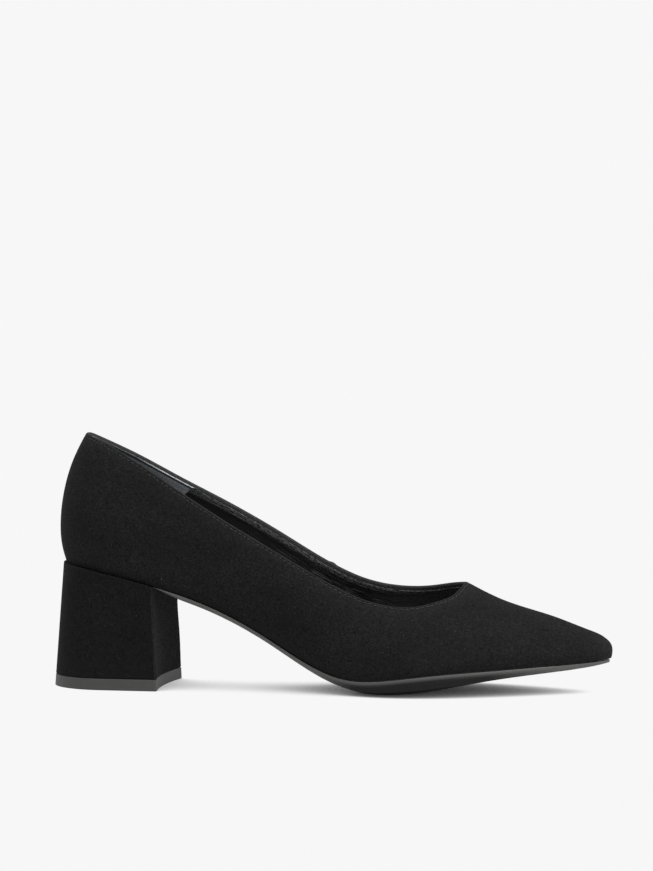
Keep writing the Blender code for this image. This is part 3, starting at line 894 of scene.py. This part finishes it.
def stitch_row(line, depth, facing, start):
    """Points and faces of the stitches on a face of the wall from start on: spindles evenly on the line.

    A spindle is a circle swept along a shallow arch, thinner at its ends. Its axes are the line's direction,
    the skin's normal, turned inwards where facing is -1, and the direction square to both.
    """
    along, around = line
    points = skin(along, around)
    gone = np.concatenate([[0], np.cumsum(np.linalg.norm(np.diff(points, axis=0), axis=1))])

    def point_at(distance):
        return np.stack([np.interp(distance, gone, points[:, axis]) for axis in range(3)], -1)

    count = int(round(gone[-1] / STITCH_PITCH))
    centres = (np.arange(count) + 0.5) * gone[-1] / count
    centres = centres[np.interp(centres, gone, along) >= start]
    count = len(centres)
    place = np.interp(centres, gone, along), np.interp(centres, gone, around)
    shake = THREAD_SHAKE * np.random.default_rng(count).normal(size=(3, count, 1))
    normal = skin_normal(*place)
    forward = unit(point_at(centres + THREAD_AIM) - point_at(centres - THREAD_AIM))
    forward = unit(forward + shake[0] * np.cross(normal, forward))
    sideways = np.cross(normal, forward)
    way = np.linspace(-1, 1, THREAD_ROWS)[:, None]
    turn = np.linspace(2 * np.pi, 0, THREAD_SIDES, endpoint=False)
    thickness = THREAD / 2 * np.sqrt(1 - THREAD_TAPER * way**2)
    run = way * STITCH_LENGTH / 2 + 0 * turn
    aside = thickness * np.cos(turn)
    lift = THREAD_ARCH * np.cos(way * np.pi / 2) - THREAD_SUNK + thickness * np.sin(turn)
    spindle = np.stack([run, facing * aside, facing * lift])[..., None]
    axes = np.stack([forward * (1 + shake[1]), sideways, normal])[:, :, None, None]
    middle = skin(*place) - depth * normal + shake[2] * sideways
    loops = middle[:, None, None] + (spindle[:, None] * axes).sum(0)
    step = np.arange(count)[:, None, None] * way.size * turn.size
    parts = [np.atleast_2d(part) for part in loft(loops[0])[1]]
    return loops.reshape(-1, 3), [(part + step).reshape(-1, part.shape[-1]) for part in parts]


def thread_twist(where):
    """Waxed thread, lighter where its plies turn up."""
    plies = where.noise(PLY_SIZE, 1.0)
    tone = (0.5 + 3 * (plies - 0.5)).clamped()
    return {"Base Color": tone.blend(THREAD_DARK, THREAD_LIGHT), "Roughness": 0.5 + 0.2 * plies}


thread = new_material("black thread", thread_twist, {"Specular IOR Level": 0.4})
stitch_line = lowered(collar, STITCH_DROP)
rows = (
    ("collar_stitches", STITCH_GROOVE, 1, 0.0),
    ("inner_stitches", suede_wall(STITCH_DROP), -1, LINING_STEP[1]),
)
for name, depth, facing, start in rows:
    points, faces = stitch_row(stitch_line, depth, facing, start)
    add_piece(name, points, faces, thread, "suede")


# Insole with its sock. A thin board on the bottom of the last, with a smooth black leather sock glued on top
# and its edge pressed against the lining all round.

INSOLE_THICKNESS = 2.2
INSOLE_INSET = 2.1  # feather line to the sock's edge, so that it meets the lining
INSOLE_TOE_GAP = 5.0
INSOLE_ROWS = 150
ACROSS = 33  # points across a bottom piece
SOCK_GRAIN_SIZE, POLISH_SIZE = 0.8, 14.0
SOCK_DARK = (0.012, 0.012, 0.013, 1)
SOCK_LIGHT = (0.026, 0.026, 0.028, 1)

# Edge of the insole from the top down: steps inwards in mm, and shares of the thickness
SOCK_EDGE = (
    ("inward", "drop"),
    (0.50, 0.00),
    (0.15, 0.08),
    (0.00, 0.25),
    (0.00, 1.00),
)


def half_breadth(along, inset=0.0, back=0.0, tip=LENGTH):
    """Half the width of the feather outline moved in by inset, with elliptical ends at back and tip."""
    heel = np.clip((HEEL_CENTRE - along) / (HEEL_CENTRE - back), 0, 1)
    toe = np.clip(1 - (tip - along) / (tip - LENGTH + TOE_ROUND), 0, 1)
    return (bottom["breadth"](along) * BALL_WIDTH - inset) * np.sqrt((1 - heel**2) * (1 - toe**2))


def bottom_height(along, across):
    """Underside of the last, from -1 at the outer feather line over the belly to 1 at the inner one."""
    return bottom["height"](along) * HEEL_HEIGHT - bottom["belly"](along) * (1 - across**2)


def plate_loops(stations, inset, back, tip, lift, edge, thickness):
    """Section loops of a thin piece on the bottom of the last: across its top, down an edge, back, and up.

    The top lies lift above the last's underside, and the edge is a table as above.
    """
    along = stations[:, None]
    inward, drop = np.array(edge[1:]).T
    half = half_breadth(along, inset, back, tip)
    level, flat, sides = np.linspace(-1, 1, ACROSS), np.ones(ACROSS), np.ones(len(inward))
    across = np.concatenate([level, sides, level[::-1], -sides])
    inward = np.concatenate([flat * inward[0], inward, flat * inward[-1], inward[::-1]])
    drop = np.concatenate([flat * 0, drop, flat, drop[::-1]])
    y = np.maximum(half - inward, 0) * across
    z = bottom_height(along, np.clip(y / half_breadth(along), -1, 1)) + lift - drop * thickness
    return np.stack(np.broadcast_arrays(along, swing(along) + y, z), -1)


def sock_grain(where):
    """Soft smooth leather with a fine grain, a little polished in patches."""
    grain = where.noise(SOCK_GRAIN_SIZE, 3.0)
    patches = where.noise(POLISH_SIZE)
    return {
        "Base Color": (grain * 0.5 + patches * 0.5).blend(SOCK_DARK, SOCK_LIGHT),
        "Roughness": 0.46 + 0.18 * patches,
        "Normal": grain.bump(0.3, 0.12),
    }


sock_leather = new_material("black sock leather", sock_grain, {"Specular IOR Level": 0.4})
sock_back, sock_tip = INSOLE_INSET, LENGTH - INSOLE_TOE_GAP
sock_stations = sock_back + (sock_tip - sock_back) * (1 - np.cos(np.linspace(0, np.pi, INSOLE_ROWS))) / 2
loops = plate_loops(
    sock_stations, INSOLE_INSET, sock_back, sock_tip, INSOLE_THICKNESS, SOCK_EDGE, INSOLE_THICKNESS
)
add_piece("insole_sock", *loft(loops), sock_leather, "insole_leather", "insole")


# Outsole. A thin moulded sole from the breast of the heel to the toe, glued under the rolled edge of the
# upper. Its side is a smooth satin band, its underside is finely pebbled, and it is flat where it stands.
# The underside, and under the ball the side below the band, are painted dark, partly as shade.

SOLE_GAP = 0.3  # under the last, as the glue line
SOLE_INSET = 0.5  # feather line to the sole's edge
SOLE_TOE_GAP = 1.4
SOLE_BREAST_GAP = 0.1  # breast of the heel to the sole's end
SOLE_TUCK = 1.6  # how far its sides turn in at the breast of the heel
SOLE_TUCK_RUN = 2.5
SOLE_SKIVE = 0.75  # share of its thickness that is pared off there
SOLE_SKIVE_RUN = 7.0
SOLE_BAND = 0.5  # height of the smooth band down to where painted shade starts to darken it
SOLE_BAND_FADE = 1.4
SOLE_THIN = 2.4  # thickness up to which the band takes the whole side
SOLE_THIN_RUN = 1.2
SOLE_ROWS, SOLE_TOE_ROWS = 150, 16
HEEL_BREAST_TOP = 44.0  # along, at the corners of the breast
HEEL_HOLLOW = 2.2  # how far the breast curves in
TREAD_PEBBLE_SIZE = 0.7
SCUFF_SIZE, SCUFF_STRETCH = 5.0, (4.0, 1.0, 0.5)
SOLE_BAND_PLAIN = (0.054, 0.054, 0.053, 1)
SOLE_BAND_RUBBED = (0.076, 0.076, 0.074, 1)
# near black of the underside, partly its own colour and partly painted shade, which the side blends to
SOLE_TREAD_AND_SHADE = (0.012, 0.012, 0.012, 1)

# Edge of the sole from the top down: steps inwards in mm, and shares of the thickness
SOLE_EDGE = (
    ("inward", "drop"),
    (0.18, 0.00),
    (0.00, 0.06),
    (0.00, 0.20),
    (0.00, 0.42),
    (0.12, 0.62),
    (0.50, 0.85),
    (1.10, 1.00),
)


def sole_loops():
    """Section loops of the sole, and how far each point is painted dark: the underside, and shade on the
    side.

    The back end follows the breast, where the sole is pared thin, and the underside stops at the floor. The
    side is painted dark as shade below its smooth band where the sole is thick, under the ball.
    """
    tip = LENGTH - SOLE_TOE_GAP
    toe = LENGTH - TOE_ROUND
    start = HEEL_BREAST_TOP + SOLE_BREAST_GAP
    toe_fan = toe + (tip - toe) * np.sin(np.linspace(0, np.pi / 2, SOLE_TOE_ROWS))[1:]
    stations = np.concatenate([np.linspace(start, toe, SOLE_ROWS), toe_fan])
    skived = 1 - SOLE_SKIVE * bell(stations - start, SOLE_SKIVE_RUN)
    thickness = (skived * bottom["sole"](stations))[:, None]
    tuck = SOLE_TUCK * np.exp(-(stations[:, None] - start) / SOLE_TUCK_RUN)
    loops = plate_loops(stations, SOLE_INSET + tuck, 0.0, tip, -SOLE_GAP, SOLE_EDGE, thickness)
    across = (loops[0, :, 1] - swing(start)) / half_breadth(start, SOLE_INSET, 0.0, tip)
    loops[0, :, 0] -= HEEL_HOLLOW * (1 - across**2)
    loops[..., 2] = np.maximum(loops[..., 2], 0)
    drop = np.array(SOLE_EDGE[1:])[:, 1]
    dark = np.clip((drop * thickness - SOLE_BAND) / SOLE_BAND_FADE, 0, 1)
    dark = dark * np.clip((thickness - SOLE_THIN) / SOLE_THIN_RUN, 0, 1)
    flat = np.ones((len(stations), ACROSS))
    return loops, np.concatenate([0 * flat, dark, flat, dark[:, ::-1]], 1).ravel()


def sole_finish(where):
    """Satin band with faint scuffs along it, darkened by an attribute to a pebbled underside and painted
    shade.
    """
    tread_and_shade = where.attribute("tread_and_shade")
    pebbles = where.noise(TREAD_PEBBLE_SIZE, 1.0)
    scuffs = where.noise(SCUFF_SIZE, 3.0, SCUFF_STRETCH)
    return {
        "Base Color": tread_and_shade.blend(scuffs.blend(SOLE_BAND_PLAIN, SOLE_BAND_RUBBED), SOLE_TREAD_AND_SHADE),
        "Roughness": 0.55 + 0.2 * tread_and_shade + 0.1 * scuffs,
        "Coat Weight": 0.5 - 0.5 * tread_and_shade,
        "Normal": ((pebbles - 0.5) * tread_and_shade).bump(0.5, 0.3),
    }


sole_rubber = new_material("grey sole", sole_finish, {"Specular IOR Level": 0.1, "Coat Roughness": 0.35})
loops, tread_and_shade = sole_loops()
add_piece("sole_unit", *loft(loops), sole_rubber, "sole", "outsole", {"tread_and_shade": tread_and_shade})


# Heel. A moulded block covered in the same suede: the cover is wrapped round from the breast, its edges are
# turned in at the top and the bottom, and a separate flap covers the breast between two seams.

HEEL_RIM = 0.8  # how far the heel's top stands out past the feather line
HEEL_BREAST_FLOOR = 46.2  # along, at the floor
HEEL_BACK_FLOOR = -5.1
HEEL_HALF_WIDTH_FLOOR = 27.0  # at the breast
HEEL_FLOOR_TAPER = 1.6  # how much narrower it is towards the back
HEEL_ROUND = 0.5  # share of the heel's depth that is round
HEEL_CORNER = 1.0  # rounding of the breast's corners
SEAT_BACK = 0.5  # along, behind which the seat gets no narrower
TOP_PIECE_THICKNESS = 5.0
COVER_GAP = 0.05  # top piece to the cover
COVER_ROUNDING = 0.7  # of its turned-in edges
COVER_ROWS = 40
BACK_POINTS, SIDE_POINTS, BREAST_POINTS, CORNER_POINTS = 44, 36, 63, 8  # round the outline
RIM_POINTS = 5  # over a rounded rim
BREAST_SEAM = 1.2  # corner to the seam between the cover and the breast flap
BREAST_SEAM_GROOVE = 0.25
BREAST_SEAM_WIDTH = 0.5
BREAST_SEAM_SWAY = 0.35  # how far the seam wanders
BREAST_SEAM_WAVE = 4.0  # length of its wandering, divided by a full turn
BREAST_LIP = 0.125  # how far the cover's edge beside it stands out
BREAST_LIP_OFF = 1.0  # seam to that edge
BREAST_LIP_RUB = 0.15
HEEL_SHADED_TONE = 0.34  # middle of its nap's tones, painted darker than the upper's as shade
# its nap is pressed flatter than the upper's, so its tones spread less
HEEL_RUFFLE = 0.65


def heel_outline(floor_share):
    """Closed outline of the heel at a share of the way from seat to floor: round back, sides, breast.

    Half widths run between those of the last's bottom and of the floor. The corners are quadratic curves.
    Gives the outline's points, and for each its place across the breast from -1 to 1, or 2 off the breast.
    """
    def between(seat, floor):
        return seat * (1 - floor_share) + floor * floor_share

    back = between(-HEEL_RIM, HEEL_BACK_FLOOR)
    front = between(HEEL_BREAST_TOP, HEEL_BREAST_FLOOR)
    depth = np.concatenate([
        HEEL_ROUND * (1 - np.cos(np.linspace(0, np.pi / 2, BACK_POINTS))),
        np.linspace(HEEL_ROUND, 1 - HEEL_CORNER / (front - back), SIDE_POINTS)[1:],
        [1.0],
    ])
    seat_half = bottom["breadth"](HEEL_BREAST_TOP * depth) * BALL_WIDTH + HEEL_RIM
    half = between(seat_half, HEEL_HALF_WIDTH_FLOOR - HEEL_FLOOR_TAPER * (1 - depth))
    half = half * np.sqrt(1 - np.clip(1 - depth / HEEL_ROUND, 0, 1) ** 2)
    side = np.stack([back + (front - back) * depth, -half], -1)
    side, tip = side[:-1], side[-1]
    across = np.linspace(-1, 1, BREAST_POINTS)[1:-1]
    across = across[np.abs(across) < 1 - HEEL_CORNER / half[-1]]
    breast = np.stack([front - HEEL_HOLLOW * (1 - across**2), half[-1] * across], -1)
    turn = np.linspace(0, 1, CORNER_POINTS)[1:-1, None]
    bend = (1 - turn) ** 2 * side[-1] + 2 * turn * (1 - turn) * tip + turn**2 * breast[0]
    mirror = np.array([1, -1])
    outline = np.concatenate([side, bend, breast, bend[::-1] * mirror, side[:0:-1] * mirror])
    off = np.full(len(side), 2.0)
    corner = np.abs(bend[:, 1]) / half[-1]
    return outline, np.concatenate([off, -corner, across, corner[::-1], off[:-1]])


def heel_wall(top_share, low_share, top_height, low_height, rounding, rows):
    """Loops of a slice of the heel, ruled from its top outline to its low one, with rounded rims.

    A rim turns in through a quarter circle. Gives the loops, their directions outwards and the places across
    the breast. The top height is one for all of its outline or one for each point.
    """
    (top, across), (low, _) = heel_outline(top_share), heel_outline(low_share)
    quarter = np.linspace(0, np.pi / 2, RIM_POINTS)
    rim_in, rim_down = rounding * (1 - np.sin(quarter)), rounding * (1 - np.cos(quarter))
    level, middle = np.zeros(RIM_POINTS), np.zeros(rows)
    share = np.concatenate([level, np.linspace(0, 1, rows + 2)[1:-1], level + 1])[:, None]
    inward = np.concatenate([rim_in, middle, rim_in[::-1]])[:, None, None]
    down = np.concatenate([rim_down, middle, -rim_down[::-1]])[:, None]
    outline = top * (1 - share[..., None]) + low * share[..., None]
    ahead = np.roll(outline, -1, 1) - np.roll(outline, 1, 1)
    outward = unit(np.stack([ahead[..., 1], -ahead[..., 0]], -1))
    flat = outline - inward * outward
    z = np.broadcast_to(top_height * (1 - share) + low_height * share - down, flat.shape[:2])
    return np.concatenate([flat, z[..., None]], -1), outward, across


def seat_height(outline):
    """Top of the heel under the upper: the last's underside less the glue line."""
    along, y = outline.T
    across = (y - swing(along)) / half_breadth(np.maximum(along, SEAT_BACK))
    return bottom_height(along, np.clip(across, -1, 1)) - SOLE_GAP


# The same suede, its tones painted darker as shade on the low heel
heel_suede = new_material(
    "black heel suede", lambda where: suede_nap(where, HEEL_SHADED_TONE, HEEL_RUFFLE), SUEDE_FINISH
)
seat = seat_height(heel_outline(0.0)[0])
cover_low = TOP_PIECE_THICKNESS + COVER_GAP
cover_share = 1 - cover_low / HEEL_HEIGHT
loops, outward, across = heel_wall(0.0, cover_share, seat, cover_low, COVER_ROUNDING, COVER_ROWS)
off_corner = (1 - np.abs(across)) * HEEL_HALF_WIDTH_FLOOR
off_seam = off_corner - BREAST_SEAM + BREAST_SEAM_SWAY * np.sin(loops[..., 2] / BREAST_SEAM_WAVE)
lip = bell(off_seam + BREAST_LIP_OFF, BREAST_SEAM_WIDTH)
relief = BREAST_LIP * lip - BREAST_SEAM_GROOVE * bell(off_seam, BREAST_SEAM_WIDTH)
loops[..., :2] += relief[..., None] * outward
on_breast = np.tile(np.abs(across) < 1, len(loops))
attributes = {"rub_and_painted_light": BREAST_LIP_RUB * lip.ravel(), "brushed": on_breast}
add_piece("heel_cover", *loft(loops), heel_suede, "heel_suede", "heel", attributes)


# Top piece. A lift of hard grey rubber, nailed and glued under the heel. Its side is ground flush with the
# cover, which leaves fine level marks, and its underside stands flat on the floor.

RUBBER_ROUNDING = 0.25  # of its rims
RUBBER_ROWS = 8
MARK_SIZE, MARK_STRETCH = 1.2, (6.0, 6.0, 0.4)
RUBBER_GRAIN_SIZE = 0.4
RUBBER_DARK = (0.028, 0.028, 0.027, 1)
RUBBER_LIGHT = (0.046, 0.046, 0.045, 1)


def rubber_finish(where):
    """Matt rubber with faint level grinding marks and a fine grain."""
    marks = where.noise(MARK_SIZE, 3.0, MARK_STRETCH)
    grain = where.noise(RUBBER_GRAIN_SIZE)
    return {
        "Base Color": (marks * 0.7 + grain * 0.3).blend(RUBBER_DARK, RUBBER_LIGHT),
        "Roughness": 0.55 + 0.15 * marks,
        "Normal": (marks * 0.5 + grain * 0.5).bump(0.25, 0.1),
    }


top_rubber = new_material("grey top piece rubber", rubber_finish, {"Specular IOR Level": 0.4})
rubber_share = 1 - TOP_PIECE_THICKNESS / HEEL_HEIGHT
loops, _, _ = heel_wall(rubber_share, 1.0, TOP_PIECE_THICKNESS, 0.0, RUBBER_ROUNDING, RUBBER_ROWS)
add_piece("heel_top_piece", *loft(loops), top_rubber, "top_piece_rubber", "top_piece")


# Floor, light and camera. A plain pale floor that glows instead of being lit, so bright that only deep shade
# shows on it, and that shade is painted into its glow from the share of open sky. It lies in a white room
# whose ceiling is darker than its walls, with soft light from above and from beyond the toe. A long lens
# looks from a little beyond the toe.

FLOOR_REACH = 60000.0
FLOOR_PAST_WHITE = 2.2  # brightness of the open floor, over the one that shows as white
SHADE_REACH = 300.0  # how far off the shoe still darkens the floor's painted shade
SHADE_SAMPLES = 16
BLACK, WHITE = (0, 0, 0, 1), (1, 1, 1, 1)
WALL_LIGHT = 0.93
CEILING_LIGHT = 0.35
WALL_TOP = 0.12  # sine of the angle up to which the room is as bright as its walls
CEILING_START = 0.45  # sine of the angle from which it is as dark as its ceiling
TOP_LIGHT = 3.6
TOP_TILT = 9.0  # degrees towards the camera
TOP_SOFTNESS = 85.0  # degrees that the light spans
TOE_LIGHT = 1.6
TOE_TILT = 75.0  # degrees from straight above
TOE_TURN = 68.0  # degrees from the camera's side towards the toe
TOE_SOFTNESS = 50.0
CAMERA_TURN = np.radians(9.6)
CAMERA_DISTANCE = 1500.0
CAMERA_HEIGHT = 171.0
CAMERA_PIVOT = 118.8  # along, the place that the camera turns about
CAMERA_NEAR, CAMERA_FAR = 50.0, 200000.0  # nothing nearer or farther shows
VIEW_ACROSS = -2.2  # picture's centre, sideways from the pivot
VIEW_HEIGHT = 110.9
PIXELS_PER_MM = 2.286  # at the pivot
PICTURE_HEIGHT = 871  # pixels


def floor_glow_and_shade(where):
    """Glow of the floor with painted shade: the share of open sky above it, stretched past white and cut off
    there.
    """
    settings, inputs = {"samples": SHADE_SAMPLES}, {"Distance": SHADE_REACH * MM}
    open_sky = where.node("ShaderNodeAmbientOcclusion", settings, inputs, "AO")
    return {"Emission Color": (FLOOR_PAST_WHITE * open_sky).clamped().blend(BLACK, WHITE)}


# The floor is one large triangle, since an edge across it would show in the shade
floor_corners = np.array([[-1, -1, 0], [3, -1, 0], [-1, 3, 0]]) * FLOOR_REACH * MM
floor_mesh = bpy.data.meshes.new("floor")
floor_mesh.from_pydata(floor_corners, [], [(0, 1, 2)])
floor_finish = {
    "Base Color": BLACK,
    "Roughness": 1.0,
    "Specular IOR Level": 0.0,
    "Emission Strength": WALL_LIGHT,
}
floor_mesh.materials.append(new_material("pale floor", floor_glow_and_shade, floor_finish))
floor = add_object("floor", floor_mesh)

world = bpy.data.worlds.new("white room")
world.use_nodes = True
background = world.node_tree.nodes["Background"]
direction = Shade(world.node_tree).node("ShaderNodeTexCoord", {}, {}, "Generated")
ceiling = ((direction.axis("Z") - WALL_TOP) / (CEILING_START - WALL_TOP)).clamped()
room_light = WALL_LIGHT - (WALL_LIGHT - CEILING_LIGHT) * ceiling
background.inputs["Color"].default_value = WHITE
world.node_tree.links.new(room_light.socket, background.inputs["Strength"])
bpy.context.scene.world = world
bpy.context.scene.view_settings.view_transform = "Standard"

lights = (
    ("top light", TOP_LIGHT, TOP_TILT, 0.0, TOP_SOFTNESS),
    ("toe light", TOE_LIGHT, TOE_TILT, TOE_TURN, TOE_SOFTNESS),
)
for name, energy, tilt, turn, softness in lights:
    light_data = bpy.data.lights.new(name, "SUN")
    light_data.energy = energy
    light_data.angle = np.radians(softness)
    light = add_object(name, light_data)
    light.rotation_euler = np.radians((tilt, 0, turn))

sideways = np.array([np.cos(CAMERA_TURN), np.sin(CAMERA_TURN), 0])
backwards = np.array([np.sin(CAMERA_TURN), -np.cos(CAMERA_TURN), 0])
pivot = PLACE + [CAMERA_PIVOT, 0, 0]
eye = pivot + backwards * CAMERA_DISTANCE + [0, 0, CAMERA_HEIGHT]
view_centre = pivot + sideways * VIEW_ACROSS + [0, 0, VIEW_HEIGHT]
camera_data = bpy.data.cameras.new("camera")
camera_data.lens = PIXELS_PER_MM * CAMERA_DISTANCE / PICTURE_HEIGHT * camera_data.sensor_width
camera_data.clip_start, camera_data.clip_end = CAMERA_NEAR * MM, CAMERA_FAR * MM
camera = add_object("camera", camera_data)
camera.location = Vector(eye * MM)
camera.rotation_euler = Vector(view_centre - eye).to_track_quat("-Z", "Y").to_euler()
bpy.context.scene.camera = camera
